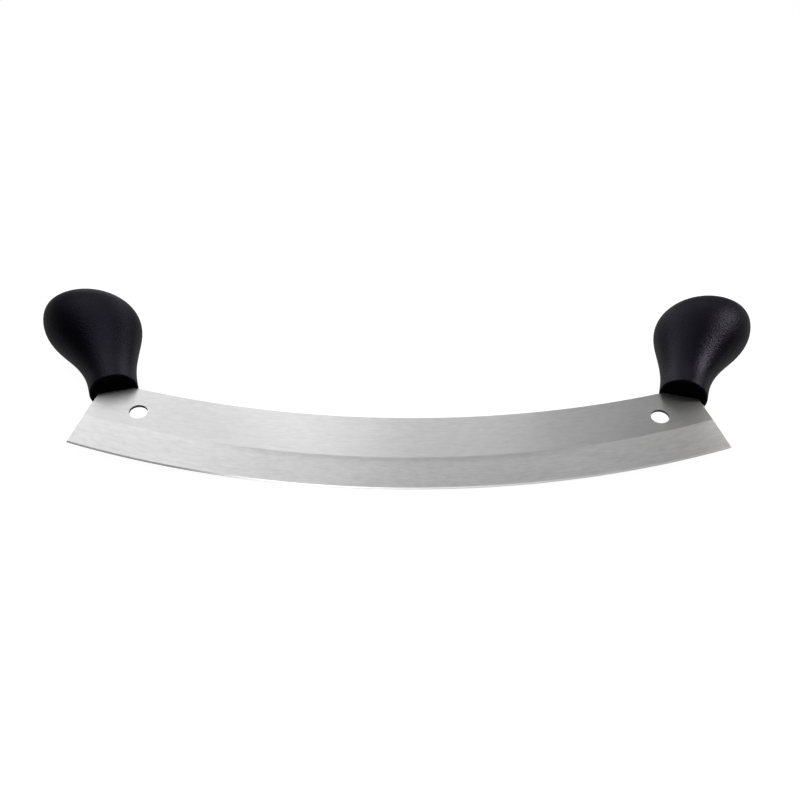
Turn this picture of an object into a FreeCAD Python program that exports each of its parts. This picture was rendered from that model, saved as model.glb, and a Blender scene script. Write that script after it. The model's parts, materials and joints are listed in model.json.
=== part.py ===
# A mezzaluna: an arched rocking knife with a moulded bulb handle on each end.
# It is drawn in the blade's own plane, with X along the blade, Y from the edge towards the handles and
# Z out of the front face. The last step lays it down on the handles and the edge, as it rests on a table.
import FreeCAD, Part
import math
import os

# Blade, in millimetres and degrees
TIP_SPAN = 350.0
EDGE_RADIUS = 510.0
BLADE_HEIGHT = 50.0
SPINE_RADIUS = 505.0
END_LEAN = 18.5
BLADE_THICKNESS = 1.7

# Grind: a wide taper along the edge on both faces, then the narrow sharpening bevel
GRIND_WIDTH = 21.0
BEVEL_WIDTH = 1.0
BEVEL_THICKNESS = 0.6
EDGE_THICKNESS = 0.1

# Hang holes, placed inwards from each tip and down from the spine
HANG_HOLE_DIAMETER = 10.0
HANG_HOLE_FROM_TIP = 35.0
HANG_HOLE_BELOW_SPINE = 17.0

# Handle seat: the middle of the flat underside, placed inwards from the tip and down from the spine
SEAT_FROM_TIP = 20.0
SEAT_BELOW_SPINE = 6.2
HANDLE_LEAN = 14.5

# Handle sections: rise above the section below, outward shift of the section's middle, width and depth
RIM_WIDTH = 26.5
RIM_DEPTH = 25.5
RIM_FILLET = 1.0
WAIST_RISE = 12.0
WAIST_WIDTH = 27.5
WAIST_DEPTH = 25.0
SHOULDER_RISE = 24.0
SHOULDER_SHIFT = 1.5
SHOULDER_WIDTH = 41.5
SHOULDER_DEPTH = 35.0
BELLY_RISE = 20.0
BELLY_SHIFT = 5.5
BELLY_WIDTH = 52.0
BELLY_DEPTH = 44.0
CROWN_RISE = 15.0
CROWN_SHIFT = 11.5
CROWN_WIDTH = 39.0
CROWN_DEPTH = 33.0
TOP_RISE = 7.0
TOP_SHIFT = 19.0

# Tang inside the handle, with the anchor holes that the plastic flows through
TANG_WIDTH = 13.0
TANG_LENGTH = 50.0
ANCHOR_HOLE_DIAMETER = 6.0
ANCHOR_HOLE_FIRST = 27.0
ANCHOR_HOLE_PITCH = 13.0
ANCHOR_HOLE_COUNT = 2

# Core moulded round the tang, ribbed to hold the grip that is moulded over it
CORE_START = 20.0
GRIP_WALL = 5.0
RIB_HEIGHT = 1.5
RIB_WIDTH = 3.0
RIB_PITCH = 8.0

# An oval in quarter turns, as control points of a square round it: across, then front to back
RING_CORNERS = [(0, -1), (1, -1), (1, 0), (1, 1), (0, 1), (-1, 1), (-1, 0), (-1, -1), (0, -1)]
RING_WEIGHTS = [1 if 0 in corner else math.sqrt(0.5) for corner in RING_CORNERS]
RING_DEGREE = 2
RING_KNOTS = [0, 1, 2, 3, 4]
RING_MULTIPLICITIES = [3, 2, 2, 2, 3]

# Halvings of each search, points looked at along the handle's outline, and how level a level edge is
SEARCH_STEPS = 60
OUTLINE_SAMPLES = 400
FLATNESS = 1e-4

V = FreeCAD.Vector
CENTRE = V(0, 0, 0)
ALONG = V(1, 0, 0)
FRONT = V(0, 0, 1)


def arc_rise(radius, x):
    """How far a circle has risen above its lowest point, at x from its middle."""
    return radius - math.sqrt(radius**2 - x**2)


def edge_y(x):
    return arc_rise(EDGE_RADIUS, x)


def spine_y(x):
    return BLADE_HEIGHT + arc_rise(SPINE_RADIUS, x)


def crossing(function, low, high):
    """Where a rising function reaches zero between low and high."""
    for _ in range(SEARCH_STEPS):
        middle = (low + high) / 2
        if function(middle) < 0:
            low = middle
        else:
            high = middle
    return (low + high) / 2


# Places that follow from the sizes
TIP_X = TIP_SPAN / 2
HANG_HOLE_X = TIP_X - HANG_HOLE_FROM_TIP
HANG_HOLE_CENTRE = V(HANG_HOLE_X, spine_y(HANG_HOLE_X) - HANG_HOLE_BELOW_SPINE, 0)
SEAT_X = TIP_X - SEAT_FROM_TIP
SEAT = V(SEAT_X, spine_y(SEAT_X) - SEAT_BELOW_SPINE, 0)
LEAN = math.radians(HANDLE_LEAN)
UP_THE_HANDLE = V(math.sin(LEAN), math.cos(LEAN), 0)
OUTWARD = V(math.cos(LEAN), -math.sin(LEAN), 0)
SHOULDER_HEIGHT = WAIST_RISE + SHOULDER_RISE
BELLY_HEIGHT = SHOULDER_HEIGHT + BELLY_RISE
CROWN_HEIGHT = BELLY_HEIGHT + CROWN_RISE
TOP_HEIGHT = CROWN_HEIGHT + TOP_RISE


def on_handle(shift, height, depth=0.0):
    """Point of the right handle at a shift outwards, a height above the seat and a depth to the front."""
    return SEAT + OUTWARD * shift + UP_THE_HANDLE * height + FRONT * depth


def mirrored(shape, normal):
    return shape.mirror(CENTRE, normal)


def both_ends(shape):
    return [shape, mirrored(shape, ALONG)]


def blade_plate(face):
    """A flat outline made as thick as the blade, half on each side of the middle plane."""
    plate = face.extrude(FRONT * BLADE_THICKNESS)
    plate.translate(FRONT * (-BLADE_THICKNESS / 2))
    return plate


def blade_hole(centre, diameter):
    return Part.makeCylinder(diameter / 2, 2 * BLADE_THICKNESS, centre - FRONT * BLADE_THICKNESS, FRONT)


def crescent():
    """The blade without tangs: edge arc, leaning ends, and a spine arc that runs on into the handles."""
    lean_slope = math.tan(math.radians(END_LEAN))
    tip_y = edge_y(TIP_X)
    corner_x = crossing(lambda x: x - TIP_X + (spine_y(x) - tip_y) * lean_slope, 0.0, TIP_X)
    right_tip = V(TIP_X, tip_y, 0)
    left_tip = V(-TIP_X, tip_y, 0)
    right_corner = V(corner_x, spine_y(corner_x), 0)
    left_corner = V(-corner_x, spine_y(corner_x), 0)
    edges = [
        Part.Arc(left_tip, CENTRE, right_tip).toShape(),
        Part.makeLine(right_tip, right_corner),
        Part.Arc(right_corner, V(0, BLADE_HEIGHT, 0), left_corner).toShape(),
        Part.makeLine(left_corner, left_tip),
    ]
    return blade_plate(Part.Face(Part.Wire(edges)))


def tang():
    """The right tang: a round-ended tongue up the middle of the handle, rooted in the blade."""
    half = TANG_WIDTH / 2
    inner_root = on_handle(-half, -half)
    outer_root = on_handle(half, -half)
    inner_shoulder = on_handle(-half, TANG_LENGTH - half)
    outer_shoulder = on_handle(half, TANG_LENGTH - half)
    edges = [
        Part.makeLine(inner_root, outer_root),
        Part.makeLine(outer_root, outer_shoulder),
        Part.Arc(outer_shoulder, on_handle(0, TANG_LENGTH), inner_shoulder).toShape(),
        Part.makeLine(inner_shoulder, inner_root),
    ]
    return blade_plate(Part.Face(Part.Wire(edges)))


def anchor_holes():
    heights = [ANCHOR_HOLE_FIRST + number * ANCHOR_HOLE_PITCH for number in range(ANCHOR_HOLE_COUNT)]
    return [blade_hole(on_handle(0, height), ANCHOR_HOLE_DIAMETER) for height in heights]


def edge_section():
    """Corners of the ground edge as height above the edge and half thickness, from the edge upwards."""
    return [
        (0.0, EDGE_THICKNESS / 2),
        (BEVEL_WIDTH, BEVEL_THICKNESS / 2),
        (GRIND_WIDTH, BLADE_THICKNESS / 2),
    ]


def grind_cutter():
    """What grinding takes off the front face: the edge section swept round the edge's own centre."""
    ground = [V(0, height, half) for height, half in edge_section()]
    outer = [
        V(0, GRIND_WIDTH, BLADE_THICKNESS),
        V(0, -BLADE_THICKNESS, BLADE_THICKNESS),
        V(0, -BLADE_THICKNESS, EDGE_THICKNESS / 2),
    ]
    outline = ground + outer
    section = Part.Face(Part.makePolygon(outline + outline[:1]))
    edge_centre = V(0, EDGE_RADIUS, 0)
    section.rotate(edge_centre, FRONT, -90)
    return section.revolve(edge_centre, FRONT, 180)


def make_blade():
    blade = crescent().fuse(both_ends(tang())).removeSplitter()
    cutters = [grind_cutter(), mirrored(grind_cutter(), FRONT)]
    for hole in anchor_holes() + [blade_hole(HANG_HOLE_CENTRE, HANG_HOLE_DIAMETER)]:
        cutters += both_ends(hole)
    return blade.cut(cutters)


def outline_spline(points, parameters, top_slope):
    """Half outline of the handle: straight up at the underside, level where it closes over the top."""
    outline = Part.BSplineCurve()
    outline.interpolate(
        Points=points,
        Parameters=parameters,
        InitialTangent=V(1, 0, 0),
        FinalTangent=V(0, 0, -top_slope),
        Scale=False,
    )
    return outline


def moved_inwards(outline, parameters, inset):
    """Points of a half outline, each moved inwards square to it."""
    points = []
    for parameter in parameters:
        point = outline.value(parameter)
        direction = outline.tangent(parameter)[0]
        steepness = math.hypot(direction.x, direction.z)
        height = point.x + inset * direction.z / steepness
        half_size = point.z - inset * direction.x / steepness
        points.append(V(height, point.y, half_size))
    return points


def handle_outlines(inset):
    """Half outlines as height, outward shift and half size: across the blade, then front to back."""
    sections = [
        (0.0, 0.0, RIM_WIDTH, RIM_DEPTH),
        (WAIST_RISE, 0.0, WAIST_WIDTH, WAIST_DEPTH),
        (SHOULDER_HEIGHT, SHOULDER_SHIFT, SHOULDER_WIDTH, SHOULDER_DEPTH),
        (BELLY_HEIGHT, BELLY_SHIFT, BELLY_WIDTH, BELLY_DEPTH),
        (CROWN_HEIGHT, CROWN_SHIFT, CROWN_WIDTH, CROWN_DEPTH),
        (TOP_HEIGHT, TOP_SHIFT, 0.0, 0.0),
    ]
    across = [V(height, shift, width / 2) for height, shift, width, depth in sections]
    deep = [V(height, shift, depth / 2) for height, shift, width, depth in sections]
    parameters = [0.0]
    for lower, upper in zip(across, across[1:]):
        parameters.append(parameters[-1] + math.hypot(upper.x - lower.x, upper.z - lower.z))
    outlines = []
    for points, top_slope in ((across, 1.0), (deep, CROWN_DEPTH / CROWN_WIDTH)):
        skin = outline_spline(points, parameters, top_slope)
        inner = outline_spline(moved_inwards(skin, parameters, inset), parameters, top_slope)
        outlines.append(inner)
    return outlines


def section_ring(height, shift, half_width, half_depth):
    """Control points of one oval section, from the back of the handle all the way round."""
    ring = []
    for across, deep in RING_CORNERS:
        ring.append(on_handle(shift + across * half_width, height, deep * half_depth))
    return ring


def height_above_seat(point):
    return (point - SEAT).dot(UP_THE_HANDLE)


def edges_at(shape, height):
    """Edges of a shape that lie level at one height up the handle."""
    level = []
    for edge in shape.Edges:
        points = [edge.valueAt((edge.FirstParameter + edge.LastParameter) / 2)]
        points += [vertex.Point for vertex in edge.Vertexes]
        if all(abs(height_above_seat(point) - height) < FLATNESS for point in points):
            level.append(edge)
    return level


def skin_band(inset, low, high):
    """The handle's skin, moved inwards by inset, from low to high, or over the top if high is None."""
    across, deep = handle_outlines(inset)
    rings = []
    for wide, thick in zip(across.getPoles(), deep.getPoles()):
        rings.append(section_ring(wide.x, wide.y, wide.z, thick.z))
    surface = Part.BSplineSurface()
    surface.buildFromPolesMultsKnots(
        rings,
        across.getMultiplicities(),
        RING_MULTIPLICITIES,
        across.getKnots(),
        RING_KNOTS,
        False,
        False,
        across.Degree,
        RING_DEGREE,
        [RING_WEIGHTS] * len(rings),
    )
    top = across.LastParameter
    start = crossing(lambda place: across.value(place).x - low, 0.0, top)
    end = top if high is None else crossing(lambda place: across.value(place).x - high, 0.0, top)
    surface.segment(start, end, RING_KNOTS[0], RING_KNOTS[-1])
    return surface.toShape()


def level_face(outlines, facing):
    """Flat face inside one oval, or between two, that faces the given way."""
    face = Part.makeFace([Part.Wire(edges) for edges in outlines], "Part::FaceMakerBullseye")
    if face.normalAt(0, 0).dot(facing) < 0:
        face.reverse()
    return face


def stacked(bands):
    """Solid inside a stack of skin bands, each an inset and two heights, with flat steps between them."""
    skins = [skin_band(inset, low, high) for inset, low, high in bands]
    faces = skins + [level_face([edges_at(skins[0], bands[0][1])], -UP_THE_HANDLE)]
    for number in range(1, len(bands)):
        height = bands[number][1]
        widens = bands[number][0] < bands[number - 1][0]
        outlines = [edges_at(skins[number - 1], height), edges_at(skins[number], height)]
        faces.append(level_face(outlines, -UP_THE_HANDLE if widens else UP_THE_HANDLE))
    return Part.makeSolid(Part.makeShell(faces))


def core_form():
    """First shot of plastic with the tang still in it: a smaller pear, ribbed up to the belly."""
    groove_inset = GRIP_WALL + RIB_HEIGHT
    bands = []
    groove_start = CORE_START
    rib_start = CORE_START + RIB_PITCH / 2
    while rib_start + RIB_WIDTH < BELLY_HEIGHT:
        bands.append((groove_inset, groove_start, rib_start))
        bands.append((GRIP_WALL, rib_start, rib_start + RIB_WIDTH))
        groove_start = rib_start + RIB_WIDTH
        rib_start += RIB_PITCH
    bands.append((groove_inset, groove_start, None))
    return stacked(bands)


def grip_form():
    """Outer shot of plastic as the hand feels it, before the core and the tang are taken out of it."""
    body = stacked([(0.0, 0.0, None)])
    return body.makeFillet(RIM_FILLET, edges_at(body, 0.0))


def handle_low(tilt):
    """Height of the handle's lowest point when the blade's plane is tilted up by tilt from lying flat."""
    across, deep = handle_outlines(0.0)
    lowest = math.inf
    for number in range(OUTLINE_SAMPLES + 1):
        parameter = across.LastParameter * number / OUTLINE_SAMPLES
        wide = across.value(parameter)
        half_depth = deep.value(parameter).z
        middle = on_handle(wide.y, wide.x).y * math.sin(tilt)
        reach = math.hypot(wide.z * math.sin(LEAN) * math.sin(tilt), half_depth * math.cos(tilt))
        lowest = min(lowest, middle - reach)
    return lowest


def edge_low(tilt):
    """Height of the lowest corner of the ground edge at that tilt."""
    return min(height * math.sin(tilt) - half * math.cos(tilt) for height, half in edge_section())


def resting_tilt():
    """Tilt at which both handles and the middle of the edge touch the table."""
    return crossing(lambda tilt: handle_low(tilt) - edge_low(tilt), 0.0, math.pi / 2)


def make_pieces():
    """Every piece by name, laid down with the middle of its footprint at the origin."""
    blade = make_blade()
    core_with_tang = core_form()
    core = core_with_tang.cut(blade)
    grip = grip_form().cut([core_with_tang, blade])
    pieces = {"blade": blade}
    pieces["right_handle_core"], pieces["left_handle_core"] = both_ends(core)
    pieces["right_handle_grip"], pieces["left_handle_grip"] = both_ends(grip)
    tilt = resting_tilt()
    for piece in pieces.values():
        piece.rotate(CENTRE, ALONG, math.degrees(tilt))
    box = Part.makeCompound(list(pieces.values())).optimalBoundingBox(False)
    for piece in pieces.values():
        piece.translate(V(0, -box.Center.y, -edge_low(tilt)))
    return pieces


if __name__ == "__main__":
    os.makedirs("parts", exist_ok=True)
    for name, piece in make_pieces().items():
        print(name, piece.ShapeType, len(piece.Solids), piece.isValid(), round(piece.Volume, 1))
        piece.exportStep("parts/" + name + ".step")
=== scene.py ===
# Looks of a mezzaluna that lies on a white table: satin ground steel between two black moulded handles.
import json
import math

import bmesh
import bpy
import numpy
from mathutils import Matrix, Vector


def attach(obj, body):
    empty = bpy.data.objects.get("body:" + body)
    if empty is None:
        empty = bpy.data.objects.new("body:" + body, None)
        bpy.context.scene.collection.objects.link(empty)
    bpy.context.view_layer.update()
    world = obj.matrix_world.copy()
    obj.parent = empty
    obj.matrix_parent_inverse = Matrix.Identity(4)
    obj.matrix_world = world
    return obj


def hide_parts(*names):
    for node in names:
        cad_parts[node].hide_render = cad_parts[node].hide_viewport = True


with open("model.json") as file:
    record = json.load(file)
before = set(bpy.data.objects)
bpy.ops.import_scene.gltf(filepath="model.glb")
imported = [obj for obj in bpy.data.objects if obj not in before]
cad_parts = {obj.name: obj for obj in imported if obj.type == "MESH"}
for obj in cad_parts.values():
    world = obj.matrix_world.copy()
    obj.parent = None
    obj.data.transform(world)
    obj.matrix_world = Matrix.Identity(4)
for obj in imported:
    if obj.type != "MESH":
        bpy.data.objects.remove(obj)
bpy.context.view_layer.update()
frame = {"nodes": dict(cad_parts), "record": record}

# Blade, in metres and degrees: its outline, then its ground edge, its holes and its tangs
MM = 0.001
TIP_SPAN = 350 * MM
EDGE_RADIUS = 510 * MM
BLADE_HEIGHT = 50 * MM
SPINE_RADIUS = 505 * MM
END_LEAN = 18.5
BLADE_THICKNESS = 1.7 * MM
GRIND_WIDTH = 21 * MM
BEVEL_WIDTH = 1 * MM
BEVEL_THICKNESS = 0.6 * MM
EDGE_THICKNESS = 0.1 * MM
HANG_HOLE_BELOW_SPINE = 17 * MM
TANG_WIDTH = 13 * MM
TANG_LENGTH = 50 * MM
ANCHOR_HOLE_RADIUS = 3 * MM
ANCHOR_HOLE_HEIGHTS = (27 * MM, 40 * MM)
SOFT_EDGE = 0.12 * MM

# Handle: its seat on the blade, then its sections as height, outward shift, width and depth
SEAT_FROM_TIP = 20 * MM
SEAT_BELOW_SPINE = 6.2 * MM
HANDLE_LEAN = 14.5
RIM_FILLET = 1 * MM
HANDLE_SECTIONS = [
    (0 * MM, 0 * MM, 26.5 * MM, 25.5 * MM),
    (12 * MM, 0 * MM, 27.5 * MM, 25 * MM),
    (36 * MM, 1.5 * MM, 41.5 * MM, 35 * MM),
    (56 * MM, 5.5 * MM, 52 * MM, 44 * MM),
    (71 * MM, 11.5 * MM, 39 * MM, 33 * MM),
    (78 * MM, 19 * MM, 0 * MM, 0 * MM),
]

# How finely the pieces are divided
BLADE_STEPS = 96
SPINE_SIDES = 1440
HOLE_SIDES = 96
TANG_END_SEGMENTS = 12
SOFT_EDGE_SEGMENTS = 2
HANDLE_SIDES = 96
HANDLE_RINGS = 64
RIM_SEGMENTS = 6

# How far the rough blade and the cutters stand past what is kept, as shares of it
ROUGH_HEIGHT = 1.3
ROUGH_LENGTH = 1.15
CUTTER_DEPTH = 10

# Share of the tang's half width that rounds each corner of its end, so that the corners don't meet
TANG_ROUNDING = 0.999

# Angles in degrees: corners to soften, slopes of a hole's wall, and bends that shade as one smooth face
SHARP_CORNER = 60
WALL_SLOPE = 60
BLADE_SMOOTH_BEND = 25
GRIP_SMOOTH_BEND = 40

# Band along the edge whose corners stay keen, and how close two equal places and two equal slopes are
KEEN_BAND = 2 * BEVEL_WIDTH
SAME_PLACE = 0.001 * MM
SAME_SLOPE_SHARE = 1 / 3

# How much more a large face counts in the smooth shading
LARGE_FACE_WEIGHT = 100

# Steel by material slot: colours in linear light, brush turns in full turns, painted end light and shade as
# start, end, shade
STEEL_FINISHES = {
    "satin_steel": {
        "tint": (0.78, 0.78, 0.78),
        "roughness": 0.45,
        "anisotropy": 0.93,
        "brush_turn": 0.25,
        "cloudiness": 0.22,
        # The flat darkens with painted shade towards its right end
        "painted_end_shades": [(30 * MM, 100 * MM, 0.92)],
    },
    "ground_steel": {
        # The ground's own slightly pink tint, darkened to nine tenths by painted shade, which the painted
        # end light lifts again
        "tint": (0.62, 0.615, 0.617),
        "roughness": 0.44,
        "anisotropy": 0.88,
        "brush_turn": 0.268,
        "cloudiness": 0.35,
        # Painted light lifts the ground towards both ends
        "painted_end_shades": [(-55 * MM, -125 * MM, 1.2), (55 * MM, 125 * MM, 1.3)],
    },
    "bevel_steel": {
        "tint": (0.8, 0.79, 0.79),
        "roughness": 0.32,
        "anisotropy": 0.45,
        "brush_turn": 0.25,
        "cloudiness": 0.1,
        # The bevel darkens with painted shade at its left end and lightens with painted light at its right
        # end
        "painted_end_shades": [(-60 * MM, -120 * MM, 0.24), (90 * MM, 150 * MM, 1.22)],
    },
    # The hang holes' walls: rough punched steel, darkened with painted shade of the holes' insides
    "punched_steel_painted_shade": {
        "tint": (0.25, 0.25, 0.25),
        "roughness": 0.5,
        "anisotropy": 0.3,
        "brush_turn": 0.25,
        "cloudiness": 0.1,
        "painted_end_shades": [],
    },
}

# Streaks in the steel: their length, width and layers of detail, and how they shade, dull and furrow it
FINE_STREAKS = (12 * MM, 0.2 * MM, 2)
MEDIUM_STREAKS = (60 * MM, 0.8 * MM, 3)
CLOUD_STREAKS = (5 * MM, 1.5 * MM, 3)
BROAD_STREAKS = (45 * MM, 9 * MM, 2)
FINE_SHADE = 0.1
MEDIUM_SHADE = 0.08
BROAD_SHADE = 0.06
STREAK_DULLNESS = 0.08
FURROW_DEPTH = 0.004 * MM
FURROW_STRENGTH = 0.25

# Painted shade of the dark line where the taper starts: from just before it to well past it, and where it
# fades to the ends
GRIND_LINE_START = 0.8 * MM
GRIND_LINE_WIDTH = 5 * MM
GRIND_LINE_DEPTH = 0.15
GRIND_LINE_ENDS = (70 * MM, 120 * MM)

# Plastics: colours in linear light, with one gloss colour for them all
PLASTIC_FINISHES = {
    "grained_plastic": {"tint": (0.0024, 0.002, 0.0042), "roughness": 0.33, "gloss": 0.135},
    # A darker, duller copy of the grained plastic for the handles' flat undersides: painted shade of their
    # own shadow
    "underside_painted_shade_plastic": {"tint": (0.0012, 0.0012, 0.0018), "roughness": 0.6, "gloss": 0.03},
    "core_plastic": {"tint": (0.05, 0.05, 0.055), "roughness": 0.5, "gloss": 0.4},
}
GLOSS_TINT = (0.7, 0.66, 1, 1)

# Moulded grain, the slower mottle under it, and the wear that dulls the crown of the handles
GRAIN_SIZE = 1 * MM
GRAIN_DEPTH = 0.25 * MM
GRAIN_DULLNESS = 0.2
MOTTLE_SIZE = 10 * MM
MOTTLE_SHADE = 0.5
NOISE_DETAIL = 2
NOISE_MIDDLE = 0.5
CROWN_WEAR = 0.12
CROWN_WEAR_SPAN = (22 * MM, 46 * MM)

# Table: its size, how white the camera sees it, how bright metal sees it from front to back, and its shade
TABLE_SIZE = 8
FLOOR_WHITE = 0.97
FLOOR_GLOSS = 0.4
FLOOR_GLOSS_SPAN = (-0.25, 0.35)
FLOOR_SHADE = 0.2

# Light from all round for what the camera doesn't see, at the front and at the back, and where it changes
FRONT_LIGHT = 0.04
BACK_LIGHT = 0.14
LIGHT_SPAN = (-0.3, 0.5)

# Softboxes: turn from the back to the right, elevation, distance, width, height, power in watts, colour
WHITE_LIGHT = (1, 1, 1)
WARM_LIGHT = (1, 0.97, 0.91)
SOFTBOXES = [
    ("back_left", -35, 58, 0.47, 0.5, 0.5, 0.15, WHITE_LIGHT),
    ("left_key", -37, 45, 0.65, 0.3, 0.28, 0.2, WHITE_LIGHT),
    ("back_middle", 2, 50, 0.5, 0.4, 0.4, 0.2, WHITE_LIGHT),
    ("near_middle", 0, 36, 0.27, 0.2, 0.15, 0.12, WHITE_LIGHT),
    ("low_right", 38, 38, 0.42, 0.24, 0.2, 0.1, WHITE_LIGHT),
    ("overhead", -30, 85, 0.6, 0.3, 0.2, 0.2, WHITE_LIGHT),
    ("overhead_right", 82, 72, 0.6, 0.45, 0.2, 0.15, WHITE_LIGHT),
    ("top_left", -75, 65, 0.5, 0.4, 0.4, 0.56, WHITE_LIGHT),
    ("side_left", -60, 45, 0.6, 0.4, 0.4, 0.19, WHITE_LIGHT),
    ("back_strip", -15, 8, 0.6, 0.4, 0.15, 0.15, WHITE_LIGHT),
    ("right_side", 80.7, 27, 0.44, 0.16, 0.09, 0.54, WARM_LIGHT),
    ("right_high", 85, 36, 0.42, 0.1, 0.06, 0.05, WARM_LIGHT),
]

# Camera: the middle of its view, how far it stands, its angles in degrees and its lens in millimetres
CAMERA_TARGET = Vector((-0.11, -6.18, 11.87)) * MM
CAMERA_DISTANCE = 749.06 * MM
CAMERA_ELEVATION = 34.611
CAMERA_TURN = -1.447
CAMERA_ROLL = -0.916
CAMERA_LENS = 62.11


def arc_rise(radius, x):
    """How far a circle has risen above its lowest point, at x from its middle."""
    return radius - math.sqrt(radius**2 - x**2)


def spine_height(x):
    return BLADE_HEIGHT + arc_rise(SPINE_RADIUS, x)


# The blade's own directions on the table: along it, up it from the edge, and out of its front face
HANG_HOLE = frame["record"]["mounts"][0]
HANG_HOLE_RADIUS = HANG_HOLE["dims"]["r_mm"] * MM
HANG_HOLE_X = abs(HANG_HOLE["pos_m"][0])
HANG_HOLE_HEIGHT = spine_height(HANG_HOLE_X) - HANG_HOLE_BELOW_SPINE
ALONG = Vector((1, 0, 0))
OUT = Vector(HANG_HOLE["axis"])
UP = OUT.cross(ALONG)
BLADE_TILT = math.asin(UP.z)
HANG_HOLE_CENTRE = Vector(HANG_HOLE["pos_m"])
EDGE_MIDDLE = Vector((0, *(HANG_HOLE_CENTRE - UP * HANG_HOLE_HEIGHT).yz))
EDGE_CENTRE = EDGE_MIDDLE + UP * EDGE_RADIUS
ON_TABLE = Matrix.Translation(EDGE_MIDDLE) @ Matrix.Rotation(BLADE_TILT, 4, "X")

# Where the right handle stands in the blade's own plane
SEAT_X = TIP_SPAN / 2 - SEAT_FROM_TIP
SEAT = Vector((SEAT_X, spine_height(SEAT_X) - SEAT_BELOW_SPINE, 0))
LEAN = math.radians(HANDLE_LEAN)
UP_THE_HANDLE = Vector((math.sin(LEAN), math.cos(LEAN), 0))
OUTWARD = Vector((math.cos(LEAN), -math.sin(LEAN), 0))


def pick(piece):
    """Makes one piece the only one that is selected."""
    bpy.ops.object.select_all(action="DESELECT")
    piece.select_set(True)
    bpy.context.view_layer.objects.active = piece


def start_editing(piece):
    """Edit mode on one piece alone, with all of it selected."""
    pick(piece)
    bpy.ops.object.mode_set(mode="EDIT")
    bpy.ops.mesh.select_mode(type="VERT")
    bpy.ops.mesh.select_all(action="SELECT")


def stop_editing():
    bpy.ops.object.mode_set(mode="OBJECT")


def select_where(test):
    """Selects the points whose place passes a test, with the edges and faces between them."""
    mesh = bmesh.from_edit_mesh(bpy.context.object.data)
    bpy.ops.mesh.select_all(action="DESELECT")
    for point in mesh.verts:
        point.select = test(point.co)
    mesh.select_flush(True)
    bmesh.update_edit_mesh(bpy.context.object.data)


def near(a, b):
    return abs(a - b) < SAME_PLACE


def finished(piece, name, matrix):
    """Names a piece and puts its place into its mesh."""
    piece.name = name
    piece.data.name = name
    piece.matrix_world = matrix @ piece.matrix_world
    pick(piece)
    bpy.ops.object.transform_apply(location=True, rotation=True, scale=True)
    return piece


def combine(piece, tool, operation):
    """Cuts a tool out of a piece, or joins it on, and takes the tool away."""
    modifier = piece.modifiers.new(operation, "BOOLEAN")
    modifier.operation = operation
    modifier.solver = "EXACT"
    modifier.object = tool
    bpy.context.view_layer.objects.active = piece
    bpy.ops.object.modifier_apply(modifier=modifier.name)
    bpy.data.objects.remove(tool)


def cut_round(blade, radius, x, y, sides):
    """Cuts a circle out of the blade, square through it."""
    bpy.ops.mesh.primitive_cylinder_add(
        vertices=sides, radius=radius, depth=CUTTER_DEPTH * BLADE_THICKNESS, location=(x, y, 0)
    )
    combine(blade, bpy.context.object, "DIFFERENCE")


def add_tang(side):
    """A round-ended tongue that the blade sends up into one handle."""
    bpy.ops.mesh.primitive_cube_add(size=1)
    tang = bpy.context.object
    half = TANG_WIDTH / 2
    tang.scale = (TANG_WIDTH, TANG_LENGTH + half, BLADE_THICKNESS)
    bpy.ops.object.transform_apply(scale=True)
    start_editing(tang)
    top = (TANG_LENGTH + half) / 2
    select_where(lambda place: near(place.y, top))
    bpy.ops.mesh.select_mode(type="EDGE")
    mesh = bmesh.from_edit_mesh(tang.data)
    for edge in mesh.edges:
        edge.select = edge.select and near(edge.verts[0].co.x, edge.verts[1].co.x)
    bmesh.update_edit_mesh(tang.data)
    bpy.ops.mesh.bevel(offset=half * TANG_ROUNDING, segments=TANG_END_SEGMENTS, affect="EDGES")
    stop_editing()
    middle = SEAT + UP_THE_HANDLE * ((TANG_LENGTH - half) / 2)
    tang.location = (side * middle.x, middle.y, 0)
    tang.rotation_euler = (0, 0, -side * LEAN)
    bpy.ops.object.transform_apply(location=True, rotation=True)
    return tang


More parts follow.
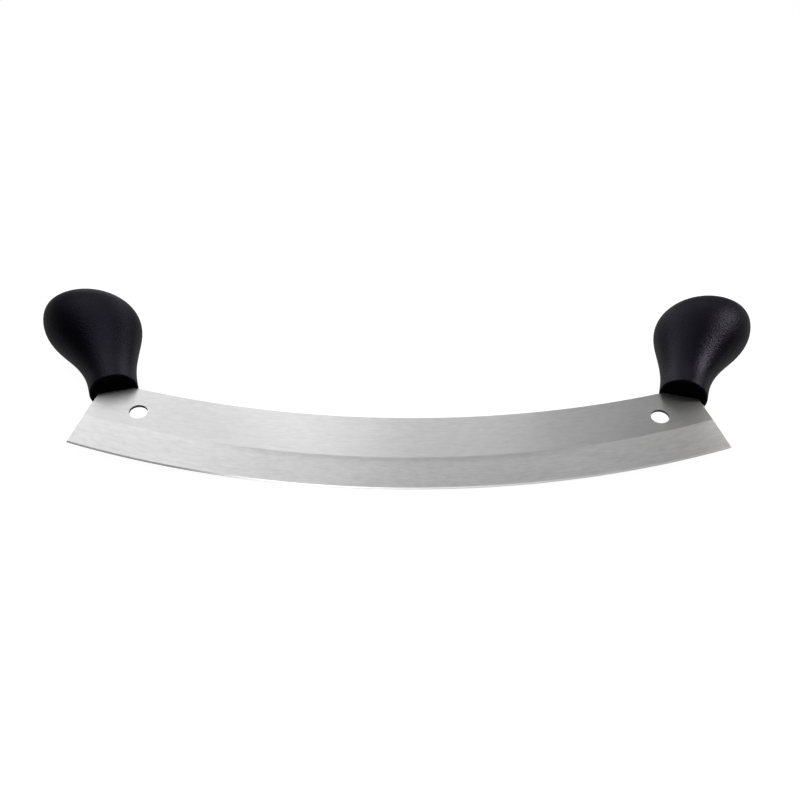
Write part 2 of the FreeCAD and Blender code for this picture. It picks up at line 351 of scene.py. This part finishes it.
def make_blade():
    """The ground blade: its section spun round the edge's centre, then cut to its ends, spine and holes."""
    section_height = ROUGH_HEIGHT * BLADE_HEIGHT
    bpy.ops.object.select_all(action="DESELECT")
    bpy.ops.mesh.primitive_plane_add(
        size=1, location=(0, section_height / 2, 0), rotation=(0, math.pi / 2, 0)
    )
    blade = bpy.context.object
    blade.scale = (BLADE_THICKNESS, section_height, 1)
    bpy.ops.object.transform_apply(location=True, rotation=True, scale=True)
    start_editing(blade)
    grind = [(GRIND_WIDTH, BLADE_THICKNESS), (BEVEL_WIDTH, BEVEL_THICKNESS), (0, EDGE_THICKNESS)]
    for width, thickness in grind:
        if width:
            bpy.ops.mesh.select_all(action="SELECT")
            bpy.ops.mesh.bisect(plane_co=(0, width, 0), plane_no=(0, 1, 0))
        select_where(lambda place: near(place.y, width))
        bpy.ops.transform.resize(value=(1, 1, thickness / BLADE_THICKNESS))
    tip_x = TIP_SPAN / 2
    centre = (0, EDGE_RADIUS, 0)
    reach = ROUGH_LENGTH * math.asin(tip_x / EDGE_RADIUS)
    bpy.ops.mesh.select_all(action="SELECT")
    bpy.ops.transform.rotate(value=reach, orient_axis="Z", center_override=centre)
    bpy.ops.mesh.spin(steps=BLADE_STEPS, angle=2 * reach, center=centre, axis=(0, 0, -1))
    bpy.ops.mesh.select_all(action="SELECT")
    bpy.ops.mesh.normals_make_consistent()
    for side in (1, -1):
        tip = (side * tip_x, arc_rise(EDGE_RADIUS, tip_x), 0)
        outwards = (side * math.cos(math.radians(END_LEAN)), math.sin(math.radians(END_LEAN)), 0)
        bpy.ops.mesh.select_all(action="SELECT")
        bpy.ops.mesh.bisect(plane_co=tip, plane_no=outwards, clear_outer=True, use_fill=True)
    stop_editing()
    cut_round(blade, SPINE_RADIUS, 0, BLADE_HEIGHT + SPINE_RADIUS, SPINE_SIDES)
    for side in (1, -1):
        combine(blade, add_tang(side), "UNION")
        cut_round(blade, HANG_HOLE_RADIUS, side * HANG_HOLE_X, HANG_HOLE_HEIGHT, HOLE_SIDES)
        for height in ANCHOR_HOLE_HEIGHTS:
            anchor = SEAT + UP_THE_HANDLE * height
            cut_round(blade, ANCHOR_HOLE_RADIUS, side * anchor.x, anchor.y, HOLE_SIDES)
    soften_corners(blade)
    finished(blade, "ground_blade", ON_TABLE)
    blade.data.use_auto_texspace = False
    blade.data.texspace_location = EDGE_CENTRE
    blade.data.texspace_size = (1, 1, 1)
    return blade


def soften_corners(blade):
    """Takes the sharpness off the spine, the ends and the hole rims, and leaves the ground edge keen."""
    start_editing(blade)
    bpy.ops.mesh.select_mode(type="EDGE")
    bpy.ops.mesh.select_all(action="DESELECT")
    bpy.ops.mesh.edges_select_sharp(sharpness=math.radians(SHARP_CORNER))
    mesh = bmesh.from_edit_mesh(blade.data)
    for edge in mesh.edges:
        middle = (edge.verts[0].co + edge.verts[1].co) / 2
        from_edge = EDGE_RADIUS - math.hypot(middle.x, middle.y - EDGE_RADIUS)
        if from_edge < KEEN_BAND or not near(abs(middle.z), BLADE_THICKNESS / 2):
            edge.select = False
    bmesh.update_edit_mesh(blade.data)
    bpy.ops.mesh.bevel(offset=SOFT_EDGE, segments=SOFT_EDGE_SEGMENTS, affect="EDGES")
    stop_editing()


def share_out(blade):
    """Gives the taper, the bevel and the hang holes' walls their own finishes, by each face's slope; the
    walls' finish is darkened by painted shade.
    """
    slots = list(STEEL_FINISHES)
    taper = math.atan2((BLADE_THICKNESS - BEVEL_THICKNESS) / 2, GRIND_WIDTH - BEVEL_WIDTH)
    bevel = math.atan2((BEVEL_THICKNESS - EDGE_THICKNESS) / 2, BEVEL_WIDTH)
    slopes = {"satin_steel": 0, "ground_steel": taper, "bevel_steel": bevel}
    for face in blade.data.polygons:
        slope = math.acos(min(1, abs(face.normal.dot(OUT))))
        hole_centre = Vector((math.copysign(HANG_HOLE_X, face.center.x), *HANG_HOLE_CENTRE.yz))
        from_hole = (face.center - hole_centre).length
        if slope > math.radians(WALL_SLOPE) and from_hole < HANG_HOLE_RADIUS + BLADE_THICKNESS:
            face.material_index = slots.index("punched_steel_painted_shade")
        for finish, finish_slope in slopes.items():
            if abs(slope - finish_slope) < taper * SAME_SLOPE_SHARE:
                face.material_index = slots.index(finish)


def smooth_slopes(places, values, first_slope, last_slope):
    """Slopes at each place of the smoothest cubic curve through the values."""
    count = len(places)
    matrix = numpy.eye(count)
    known = numpy.zeros(count)
    known[0] = first_slope
    known[-1] = last_slope
    for i in range(1, count - 1):
        before = places[i] - places[i - 1]
        after = places[i + 1] - places[i]
        matrix[i, i - 1 : i + 2] = (1 / before, 2 / before + 2 / after, 1 / after)
        known[i] = 3 * (values[i] - values[i - 1]) / before**2 + 3 * (values[i + 1] - values[i]) / after**2
    return numpy.linalg.solve(matrix, known)


def curve_value(places, values, slopes, place):
    """Value of that curve at one place."""
    i = max(number for number in range(len(places) - 1) if places[number] <= place or number == 0)
    span = places[i + 1] - places[i]
    t = (place - places[i]) / span
    start = (1 + 2 * t) * (1 - t) ** 2 * values[i] + t * (1 - t) ** 2 * span * slopes[i]
    end = t**2 * (3 - 2 * t) * values[i + 1] - t**2 * (1 - t) * span * slopes[i + 1]
    return start + end


def handle_rings():
    """The handle's oval sections from its rim to just under its top, as height, shift, width and depth."""
    places = [0.0]
    for (low, _, narrow, _), (high, _, wide, _) in zip(HANDLE_SECTIONS, HANDLE_SECTIONS[1:]):
        places.append(places[-1] + math.hypot(high - low, (wide - narrow) / 2))
    crown = HANDLE_SECTIONS[-2]
    # The sides leave the rim straight up, and both of them come in level at the top
    end_slopes = ((1, 0), (0, 0), (0, -2), (0, -2 * crown[3] / crown[2]))
    curves = []
    for values, (first, last) in zip(zip(*HANDLE_SECTIONS), end_slopes):
        curves.append((values, smooth_slopes(places, values, first, last)))
    rings = []
    for number in range(HANDLE_RINGS):
        place = places[-1] * number / HANDLE_RINGS
        rings.append([curve_value(places, values, slopes, place) for values, slopes in curves])
    return rings


def make_grip(side, name):
    """One handle: an oval drawn up through its sections, closed over the top, with a rounded rim below."""
    rings = handle_rings()
    bpy.ops.object.select_all(action="DESELECT")
    # The circle is 1 across, so its scale is the first oval's width and depth
    bpy.ops.mesh.primitive_circle_add(vertices=HANDLE_SIDES, radius=0.5, fill_type="NGON")
    grip = bpy.context.object
    start_editing(grip)
    height, shift, width, depth = rings[0]
    bpy.ops.transform.resize(value=(width, depth, 1))
    for next_height, next_shift, next_width, next_depth in rings[1:]:
        step = (next_shift - shift, 0, next_height - height)
        bpy.ops.mesh.extrude_region_move(TRANSFORM_OT_translate={"value": step})
        ratio = (next_width / width, next_depth / depth, 1)
        bpy.ops.transform.resize(value=ratio, center_override=(next_shift, 0, next_height))
        height, shift, width, depth = next_height, next_shift, next_width, next_depth
    top_height, top_shift = HANDLE_SECTIONS[-1][:2]
    last_step = (top_shift - shift, 0, top_height - height)
    bpy.ops.mesh.extrude_region_move(TRANSFORM_OT_translate={"value": last_step})
    bpy.ops.mesh.merge(type="CENTER")
    bpy.ops.mesh.select_all(action="SELECT")
    bpy.ops.mesh.normals_make_consistent()
    select_where(lambda place: near(place.z, 0))
    bpy.ops.mesh.select_mode(type="EDGE")
    bpy.ops.mesh.region_to_loop()
    bpy.ops.mesh.bevel(offset=RIM_FILLET, segments=RIM_SEGMENTS, affect="EDGES")
    stop_editing()
    outward = Vector((side * OUTWARD.x, OUTWARD.y, 0))
    up_handle = Vector((side * UP_THE_HANDLE.x, UP_THE_HANDLE.y, 0))
    turned = Matrix((outward, up_handle.cross(outward), up_handle)).transposed().to_4x4()
    seat = Matrix.Translation((side * SEAT.x, SEAT.y, 0))
    return finished(grip, name, ON_TABLE @ seat @ turned)


def soften_shading(piece, degrees):
    """Smooth shading up to an angle, with the large faces kept flat."""
    pick(piece)
    bpy.ops.object.shade_smooth_by_angle(angle=math.radians(degrees))
    flat = piece.modifiers.new("flat_faces", "WEIGHTED_NORMAL")
    flat.keep_sharp = True
    flat.weight = LARGE_FACE_WEIGHT
    bpy.ops.object.modifier_apply(modifier=flat.name)


class Value:
    """A number, colour or vector in a material. Arithmetic on it adds Math nodes."""

    def __init__(self, tree, socket):
        self.tree = tree
        self.socket = socket

    def node(self, kind, inputs, output=0, **settings):
        """Adds any other node: its settings first, then the values or links of its sockets."""
        made = self.tree.nodes.new("ShaderNode" + kind)
        for name, setting in settings.items():
            setattr(made, name, setting)
        for name, value in inputs.items():
            socket = made.inputs[name]
            if isinstance(value, Value):
                self.tree.links.new(value.socket, socket)
            else:
                socket.default_value = value
        return Value(self.tree, made.outputs[output])

    def math(self, operation, *others):
        return self.node("Math", dict(enumerate((self, *others))), operation=operation)

    def __add__(self, other):
        return self.math("ADD", other)

    def __sub__(self, other):
        return self.math("SUBTRACT", other)

    def __mul__(self, other):
        return self.math("MULTIPLY", other)

    def __truediv__(self, other):
        return self.math("DIVIDE", other)

    def __rsub__(self, other):
        return self.node("Math", {0: other, 1: self}, operation="SUBTRACT")

    def __rtruediv__(self, other):
        return self.node("Math", {0: other, 1: self}, operation="DIVIDE")

    __radd__ = __add__
    __rmul__ = __mul__


def new_material(name):
    """An empty material and its object coordinates."""
    material = bpy.data.materials.new(name)
    material.use_nodes = True
    tree = material.node_tree
    tree.nodes.clear()
    coordinates = tree.nodes.new("ShaderNodeTexCoord")
    return material, Value(tree, coordinates.outputs["Object"])


def finish_material(shader):
    output = shader.tree.nodes.new("ShaderNodeOutputMaterial")
    shader.tree.links.new(shader.socket, output.inputs["Surface"])


def part_of(vector, axis):
    """One of the three numbers of a vector, by its place from 0."""
    return vector.node("SeparateXYZ", {0: vector}, axis)


def shaded(tint, shade):
    """A tint made lighter or darker."""
    return shade.node("VectorMath", {0: tint, "Scale": shade}, operation="SCALE")


def noise(place, scale, detail):
    """Noise around zero."""
    return place.node("TexNoise", {"Vector": place, "Scale": scale, "Detail": detail}) - NOISE_MIDDLE


def fade(value, start, end, first, last):
    """Goes smoothly from the first to the last as the value goes from the start to the end."""
    span = {"Value": value, "From Min": start, "From Max": end, "To Min": first, "To Max": last}
    return value.node("MapRange", span, interpolation_type="SMOOTHSTEP")


def along_the_brushing(place):
    """Place on the blade as length along its arc, distance from the edge's centre, and depth."""
    turn = Matrix.Rotation(-BLADE_TILT, 3, "X")
    on_blade = place.node(
        "Mapping",
        {"Vector": place, "Location": -(turn @ EDGE_CENTRE), "Rotation": (-BLADE_TILT, 0, 0)},
    )
    sideways, height, depth = [part_of(on_blade, axis) for axis in range(3)]
    radius = (sideways * sideways + height * height).math("SQRT")
    length = sideways.math("ARCTAN2", -1 * height) * EDGE_RADIUS
    return length, radius, depth


def streaks(brushing, length, width, detail):
    """Noise around zero, drawn out along the brushing, with streaks of about one length and width."""
    along, across, depth = brushing
    drawn_out = along.node("CombineXYZ", {0: along / length, 1: across / width, 2: depth / width})
    return noise(drawn_out, 1, detail)


def painted_grind_shade(brushing):
    """Shade painted as the faint dark line where the taper starts, which fades towards the ends of the
    blade.
    """
    length, radius, _ = brushing
    past_line = radius - (EDGE_RADIUS - GRIND_WIDTH)
    starts = fade(past_line, -GRIND_LINE_START, 0, 0, 1)
    on_line = starts * fade(past_line, 0, GRIND_LINE_WIDTH, 1, 0)
    in_middle = fade(length.math("ABSOLUTE"), *GRIND_LINE_ENDS, 1, 0)
    return 1 - on_line * in_middle * GRIND_LINE_DEPTH


def steel(name, tint, roughness, anisotropy, brush_turn, cloudiness, painted_end_shades):
    """Satin steel, brushed along the blade in arcs round the edge's centre, with light and shade painted
    into its colour towards its ends and a painted dark line where the taper starts.
    """
    material, place = new_material(name)
    brushing = along_the_brushing(place)
    fine = streaks(brushing, *FINE_STREAKS)
    medium = streaks(brushing, *MEDIUM_STREAKS)
    cloud = streaks(brushing, *CLOUD_STREAKS)
    broad = streaks(brushing, *BROAD_STREAKS)
    shade = fine * FINE_SHADE + medium * MEDIUM_SHADE + cloud * cloudiness + broad * BROAD_SHADE + 1
    # Painted shade of the dark line where the taper starts
    shade = shade * painted_grind_shade(brushing)
    # Light and shade painted into the steel's colour towards the blade's ends, standing in for reflections
    # that the lamps don't give
    for start, end, painted_level in painted_end_shades:
        shade = shade * fade(brushing[0], start, end, 1, painted_level)
    furrows = {"Height": fine + medium, "Strength": FURROW_STRENGTH, "Distance": FURROW_DEPTH}
    shader = place.node(
        "BsdfPrincipled",
        {
            "Base Color": shaded(tint, shade),
            "Metallic": 1,
            "Roughness": medium * STREAK_DULLNESS + roughness,
            "Anisotropic": anisotropy,
            "Anisotropic Rotation": brush_turn,
            "Normal": place.node("Bump", furrows),
        },
    )
    finish_material(shader)
    return material


def plastic(name, tint, roughness, gloss):
    """Moulded plastic with a fine eroded grain, worn a little duller towards the crown."""
    material, place = new_material(name)
    grain = noise(place, 1 / GRAIN_SIZE, NOISE_DETAIL)
    mottle = noise(place, 1 / MOTTLE_SIZE, NOISE_DETAIL)
    wear = fade(part_of(place, 1), *CROWN_WEAR_SPAN, 0, CROWN_WEAR)
    pits = {"Height": grain, "Strength": 1, "Distance": GRAIN_DEPTH}
    shader = place.node(
        "BsdfPrincipled",
        {
            "Base Color": shaded(tint, mottle * MOTTLE_SHADE + 1),
            "Roughness": grain * GRAIN_DULLNESS + wear + roughness,
            "Specular IOR Level": gloss,
            "Specular Tint": GLOSS_TINT,
            "Normal": place.node("Bump", pits),
        },
    )
    finish_material(shader)
    return material


def dress(node, material):
    """Gives a part of the frame its finish."""
    data = frame["nodes"][node].data
    data.materials.clear()
    data.materials.append(material)


def stand_for(piece, node, materials):
    """A modelled piece takes the place of a part of the frame."""
    for material in materials:
        piece.data.materials.append(material)
    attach(piece, "root")
    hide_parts(node)


def add_floor():
    """A white table: metal sees it lit towards the back, and the lamps still shade it."""
    material, place = new_material("white_table")
    seen = place.node("LightPath", {}, "Is Camera Ray")
    glossy = place.node("LightPath", {}, "Is Glossy Ray")
    through = place.node("LightPath", {}, "Is Transmission Ray")
    lit = fade(part_of(place, 1), *FLOOR_GLOSS_SPAN, 0, FLOOR_GLOSS)
    shown = seen.math("MAXIMUM", through) * FLOOR_WHITE + glossy * lit
    surface = place.node("BsdfDiffuse", {"Color": (FLOOR_SHADE, FLOOR_SHADE, FLOOR_SHADE, 1)})
    glow = place.node("Emission", {"Color": (1, 1, 1, 1), "Strength": shown})
    finish_material(place.node("AddShader", {0: surface, 1: glow}))
    bpy.ops.mesh.primitive_plane_add(size=TABLE_SIZE, location=(0, 0, 0))
    floor = bpy.context.object
    floor.name = "table_top"
    floor.data.materials.append(material)


def add_softbox(name, turn, elevation, distance, width, height, power, colour):
    """A lamp that looks at the middle of the table, at a turn from the back towards the right."""
    turn = math.radians(turn)
    elevation = math.radians(elevation)
    level = math.cos(elevation)
    towards = Vector((math.sin(turn) * level, math.cos(turn) * level, math.sin(elevation)))
    lamp = bpy.data.lights.new(name, "AREA")
    lamp.shape = "RECTANGLE"
    lamp.size = width
    lamp.size_y = height
    lamp.energy = power
    lamp.color = colour
    lamp_object = bpy.data.objects.new(name, lamp)
    lamp_object.location = towards * distance
    lamp_object.rotation_euler = towards.to_track_quat("Z", "Y").to_euler()
    lamp_object.visible_camera = False
    bpy.context.scene.collection.objects.link(lamp_object)


def add_world():
    """White where the camera looks past the table, and a faint light from the back for everything else."""
    world = bpy.data.worlds.new("studio")
    world.use_nodes = True
    bpy.context.scene.world = world
    tree = world.node_tree
    background = tree.nodes["Background"]
    coordinates = tree.nodes.new("ShaderNodeTexCoord")
    direction = Value(tree, coordinates.outputs["Generated"])
    seen = direction.node("LightPath", {}, "Is Camera Ray")
    faint = fade(part_of(direction, 1), *LIGHT_SPAN, FRONT_LIGHT, BACK_LIGHT)
    strength = seen.math("MAXIMUM", faint)
    tree.links.new(strength.socket, background.inputs["Strength"])
    background.inputs["Color"].default_value = (1, 1, 1, 1)


def add_camera():
    """The photograph's camera, which rolls round its own line of sight."""
    turn = math.radians(CAMERA_TURN)
    elevation = math.radians(CAMERA_ELEVATION)
    roll = math.radians(CAMERA_ROLL)
    back = Vector(
        (math.sin(turn), -math.cos(turn) * math.cos(elevation), math.cos(turn) * math.sin(elevation))
    )
    level = UP.cross(back).normalized()
    upright = back.cross(level)
    right = level * math.cos(roll) + upright * math.sin(roll)
    top = upright * math.cos(roll) - level * math.sin(roll)
    camera = bpy.data.objects.new("camera", bpy.data.cameras.new("camera"))
    camera.data.lens = CAMERA_LENS
    turned = Matrix((right, top, back)).transposed().to_4x4()
    camera.matrix_world = Matrix.Translation(CAMERA_TARGET + back * CAMERA_DISTANCE) @ turned
    bpy.context.scene.collection.objects.link(camera)
    bpy.context.scene.camera = camera


blade = make_blade()
soften_shading(blade, BLADE_SMOOTH_BEND)
steels = [steel(name, **finish) for name, finish in STEEL_FINISHES.items()]
stand_for(blade, "blade", steels)
share_out(blade)
plastics = {name: plastic(name, **finish) for name, finish in PLASTIC_FINISHES.items()}
for side, handle in ((-1, "left_handle"), (1, "right_handle")):
    grip = make_grip(side, handle + "_bulb")
    soften_shading(grip, GRIP_SMOOTH_BEND)
    blacks = [plastics["grained_plastic"], plastics["underside_painted_shade_plastic"]]
    stand_for(grip, handle + "_grip", blacks)
    # The flat underside takes the darker, duller copy: painted shade
    underside = max(grip.data.polygons, key=lambda face: face.area)
    underside.material_index = 1
    dress(handle + "_core", plastics["core_plastic"])
add_floor()
add_world()
for softbox in SOFTBOXES:
    add_softbox(*softbox)
add_camera()
bpy.context.scene.view_settings.view_transform = "Standard"
